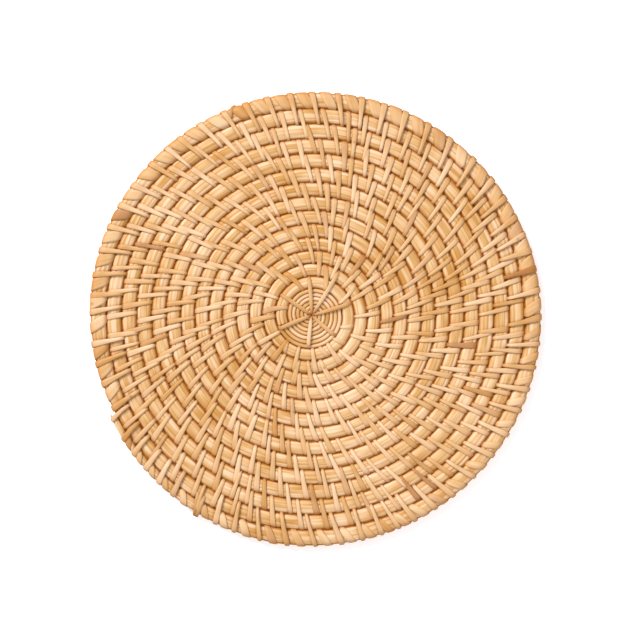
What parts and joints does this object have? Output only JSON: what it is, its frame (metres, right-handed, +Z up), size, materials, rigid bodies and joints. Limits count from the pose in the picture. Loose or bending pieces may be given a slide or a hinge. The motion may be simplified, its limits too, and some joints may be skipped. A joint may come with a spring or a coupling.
{
  "type": "chair seat pad",
  "caption": "Round flat seat pad of coiled rattan: a spiral bundle of splints sewn turn to turn with flat peel.",
  "frame": {"origin": "middle of the pad's underside, on the plane it lies on", "axes": "+Z up, out of the seat side; +Y towards the back of the pad as seen from above, with +X to the right"},
  "size_m": [0.35, 0.351, 0.01],
  "materials": {
    "rattan_core": "split cane, fibres along the coil, semi-matte",
    "rattan_peel": "smooth outer peel, slightly glossy",
    "rim_peel": "smooth outer peel, darker at the rim",
    "dark_peel": "cut ends of peel, brown"
  },
  "bodies": {
    "root": {"centre_splint_a": "rattan_core", "centre_splint_b": "rattan_core", "centre_splint_c": "rattan_core", "coil_turn_01": "rattan_core", "coil_turn_02": "rattan_core", "coil_turn_03": "rattan_core", "coil_turn_04": "rattan_core", "coil_turn_05": "rattan_core", "coil_turn_06": "rattan_core", "coil_turn_07": "rattan_core", "coil_turn_08": "rattan_core", "coil_turn_09": "rattan_core", "coil_turn_10": "rattan_core", "coil_turn_11": "rattan_core", "coil_turn_12": "rattan_core", "coil_turn_13": "rattan_core", "coil_tail": "rattan_core", "centre_spokes": "rattan_peel", "stitch_round_02": "rattan_peel", "stitch_round_03": "rattan_peel", "stitch_round_04": "rattan_peel", "stitch_round_05": "rattan_peel", "stitch_round_06": "rattan_peel", "stitch_round_07": "rattan_peel", "stitch_round_08": "rattan_peel", "stitch_round_09": "rattan_peel", "stitch_round_10": "rattan_peel", "stitch_round_11": "rattan_peel", "stitch_round_12": "rattan_peel", "stitch_round_13": "rattan_peel", "stitch_round_14": "rattan_peel", "rim_wrap": "rim_peel", "finishing_knot": "dark_peel", "strand_end": "dark_peel"}
  },
  "joints": []
}
